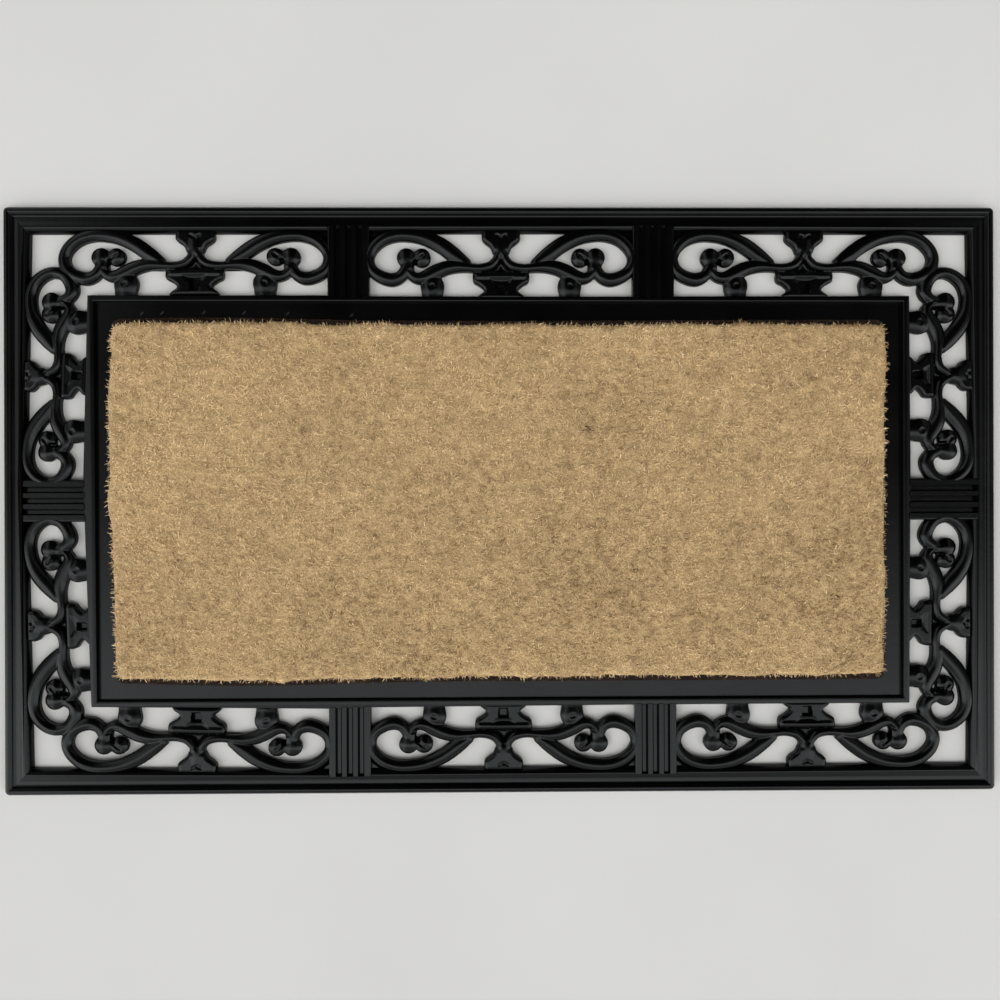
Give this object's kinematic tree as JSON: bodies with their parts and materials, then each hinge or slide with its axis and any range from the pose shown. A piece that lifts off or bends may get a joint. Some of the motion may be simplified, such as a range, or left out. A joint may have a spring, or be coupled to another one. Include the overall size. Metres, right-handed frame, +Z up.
{
  "type": "door mat",
  "caption": "Rectangular coir door mat set in the tray of a moulded rubber surround with a pierced scrollwork border and reeded bands.",
  "frame": {"origin": "centre of the mat's footprint, on the ground it rests on", "axes": "+X along the mat's length, +Y across its width, +Z up out of the pile"},
  "size_m": [0.76, 0.45, 0.0165],
  "materials": {
    "black_rubber": "satin moulded rubber, near black, slightly dusty on the flats",
    "contact_adhesive": "dried amber contact adhesive",
    "backing_pvc": "matte PVC with fibre ends showing",
    "natural_coir": "matte cut coconut fibre pile, tan with lighter and darker fibres"
  },
  "bodies": {
    "root": {"rubber_surround": "black_rubber", "adhesive_bond": "contact_adhesive", "coir_backing": "backing_pvc", "coir_pile": "natural_coir"}
  },
  "joints": []
}
